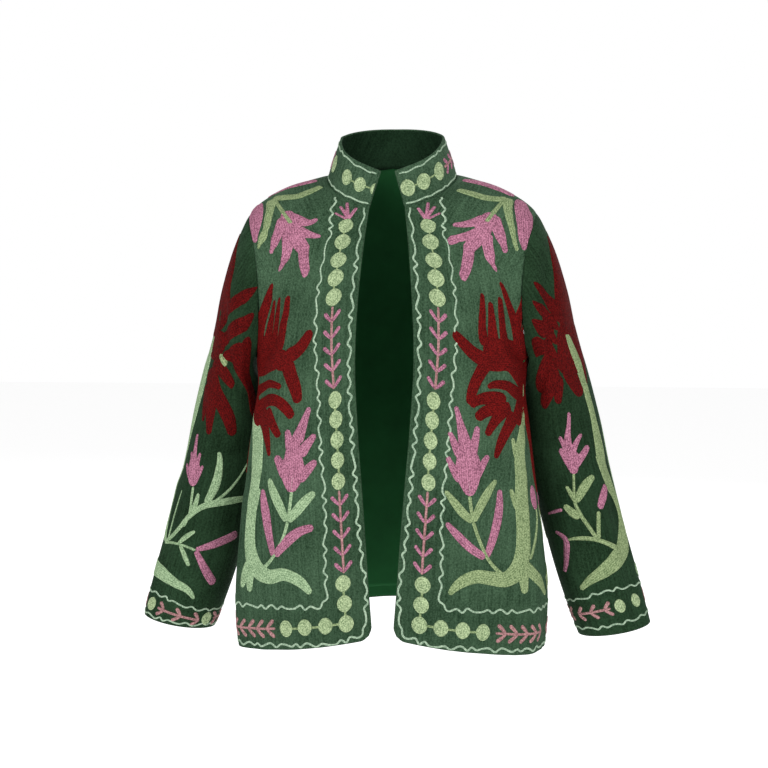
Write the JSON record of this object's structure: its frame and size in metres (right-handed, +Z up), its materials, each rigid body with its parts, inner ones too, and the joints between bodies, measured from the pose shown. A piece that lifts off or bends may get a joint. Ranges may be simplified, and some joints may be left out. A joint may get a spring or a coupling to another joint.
{
  "type": "suzani jacket",
  "caption": "Open-fronted green velvet jacket with a stand collar, long sleeves and chain-stitched flowers, hollow as if it were worn.",
  "frame": {"origin": "midway between the two points where the shoulder seams meet the collar, where a wearer's neck and shoulders hold the jacket", "axes": "+X to the wearer's left, -Y to the front, +Z up"},
  "size_m": [0.724, 0.2851, 0.71],
  "materials": {
    "velvet": "cotton velvet with short pile, chain-stitch embroidery",
    "lining": "matt plain-woven lining"
  },
  "bodies": {
    "root": {"front_left": "velvet", "front_right": "velvet", "back": "velvet", "sleeve_left": "velvet", "sleeve_right": "velvet", "collar": "velvet", "lining_back": "lining"}
  },
  "joints": []
}
